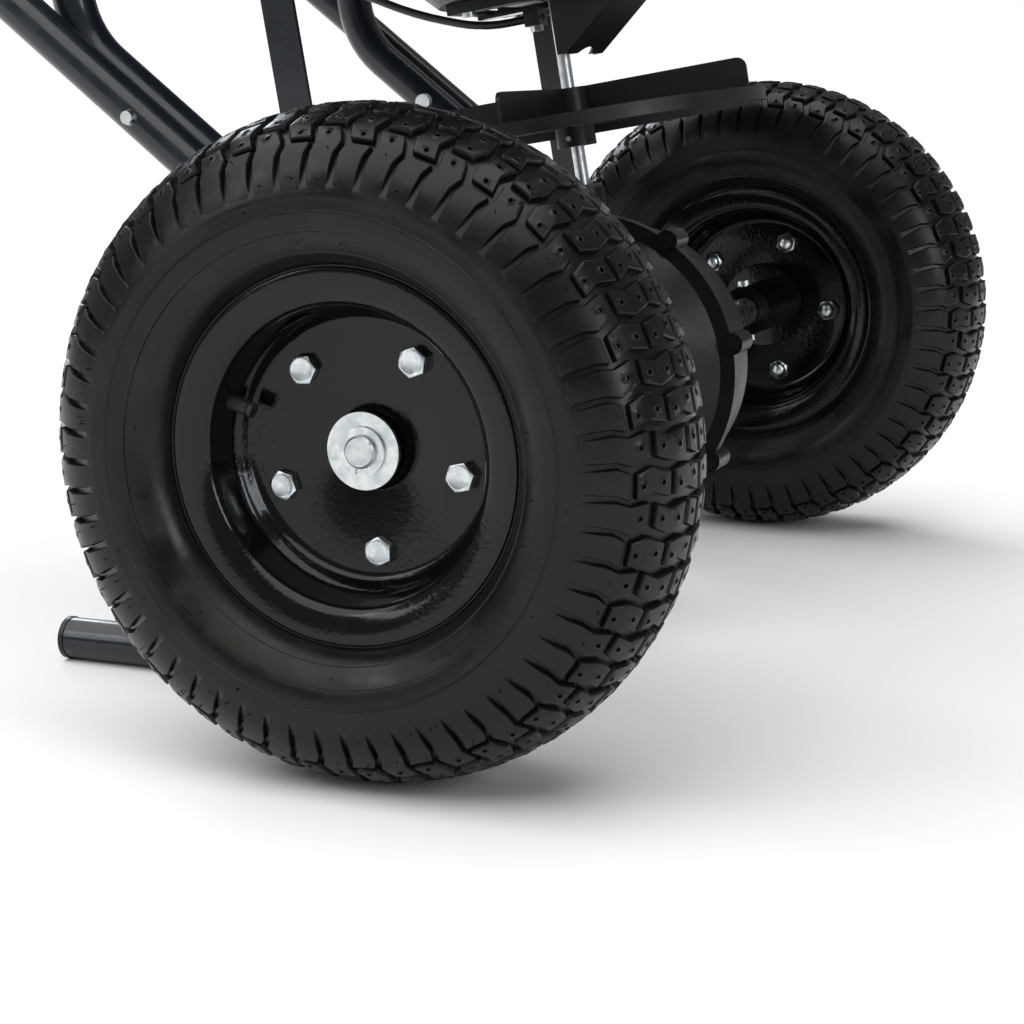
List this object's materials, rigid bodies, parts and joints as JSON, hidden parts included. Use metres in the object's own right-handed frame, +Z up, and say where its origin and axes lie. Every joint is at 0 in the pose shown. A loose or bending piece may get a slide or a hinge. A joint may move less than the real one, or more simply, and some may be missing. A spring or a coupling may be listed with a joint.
{
  "type": "garden spreader",
  "caption": "Push broadcast spreader with two pneumatic wheels, a gearcase on the axle driving an impeller under a round hopper, tube feet and a U handle with a flow lever.",
  "frame": {"origin": "on the ground, at the middle of the whole machine's footprint", "axes": "+Z up, -Y the direction of travel, +X the operator's left, along the axle"},
  "size_m": [0.7734, 1.297, 1.0622],
  "materials": {
    "tyre_rubber": "moulded black rubber with a matt, slightly dusty sidewall",
    "tube_rubber": "smooth black butyl rubber",
    "rim_paint": "glossy black powder coat with a light orange peel",
    "zinc_plate": "bright zinc plate",
    "steel": "drawn bright steel",
    "frame_paint": "glossy black powder coat",
    "case_plastic": "glossy black moulded plastic",
    "hopper_plastic": "glossy black moulded plastic",
    "spreader_plastic": "satin black moulded plastic",
    "nylon": "natural nylon",
    "grip_foam": "fine-celled black foam",
    "lever_plastic": "black glass-filled nylon",
    "cable_jacket": "satin black jacket"
  },
  "bodies": {
    "frame": {"left_side_tube": "frame_paint", "right_side_tube": "frame_paint", "post_tubes": "frame_paint", "axle_plates": "frame_paint", "struts": "frame_paint", "axle_bushes": "nylon", "frame_screws": "zinc_plate", "frame_nuts": "zinc_plate", "foot_caps": "spreader_plastic", "hopper_hoop": "frame_paint", "hopper_screws": "zinc_plate", "handle": "frame_paint", "handle_grip": "grip_foam", "handle_screws": "zinc_plate", "handle_nuts": "zinc_plate", "braces": "frame_paint", "lever_bracket": "frame_paint", "lever_pivot": "zinc_plate", "control_cable": "cable_jacket", "hopper": "hopper_plastic", "shutter_guide": "spreader_plastic", "outlet_chute": "spreader_plastic", "guide_screws": "zinc_plate", "cable_bracket": "frame_paint", "shaft_bushes": "nylon", "gearcase_cover": "case_plastic", "gearcase_housing": "case_plastic", "gearcase_screws": "case_plastic"},
    "drive_axle": {"left_tyre": "tyre_rubber", "left_inner_tube": "tube_rubber", "left_rim_outer": "rim_paint", "left_rim_inner": "rim_paint", "left_hub": "rim_paint", "left_wheel_bolts": "zinc_plate", "left_wheel_nuts": "zinc_plate", "axle": "steel", "hub_washers": "zinc_plate", "axle_clips": "zinc_plate", "drive_pin": "zinc_plate", "axle_spacers": "zinc_plate", "axle_collars": "zinc_plate", "crown_gear": "nylon", "crown_gear_pin": "zinc_plate"},
    "free_wheel": {"right_tyre": "tyre_rubber", "right_inner_tube": "tube_rubber", "right_rim_outer": "rim_paint", "right_rim_inner": "rim_paint", "right_hub": "rim_paint", "right_wheel_bolts": "zinc_plate", "right_wheel_nuts": "zinc_plate", "right_wheel_bushes": "nylon"},
    "impeller": {"impeller_shaft": "steel", "pinion": "nylon", "shaft_pins": "zinc_plate", "impeller": "spreader_plastic", "agitator": "steel"},
    "flow_lever": {"flow_lever": "lever_plastic", "lever_knob": "lever_plastic"},
    "shutter": {"shutter": "steel", "shutter_wire": "steel"}
  },
  "joints": [
    {"name": "drive_axle_spin", "type": "hinge", "parent": "frame", "child": "drive_axle", "pos_m": [0, -0.45753, 0.165], "axis": [1, 0, 0], "continuous": true},
    {"name": "free_wheel_spin", "type": "hinge", "parent": "frame", "child": "free_wheel", "pos_m": [-0.333, -0.45753, 0.165], "axis": [1, 0, 0], "continuous": true},
    {"name": "impeller_spin", "type": "hinge", "parent": "frame", "child": "impeller", "pos_m": [0, -0.45753, 0.165], "axis": [0, 0.1754, 0.9845], "continuous": true},
    {"name": "flow_lever_turn", "type": "hinge", "parent": "frame", "child": "flow_lever", "pos_m": [0, 0.37079, 0.87741], "axis": [1, 0, 0], "range_deg": [0, 57.29]},
    {"name": "shutter_slide", "type": "slide", "parent": "frame", "child": "shutter", "axis": [0, 0.9845, -0.1754], "range_m": [0, 0.036]}
  ],
  "couplings": [
    {"joint": "impeller_spin", "follows": "drive_axle_spin", "ratio": 4},
    {"joint": "shutter_slide", "follows": "flow_lever_turn", "m_per_rad": 0.036}
  ]
}
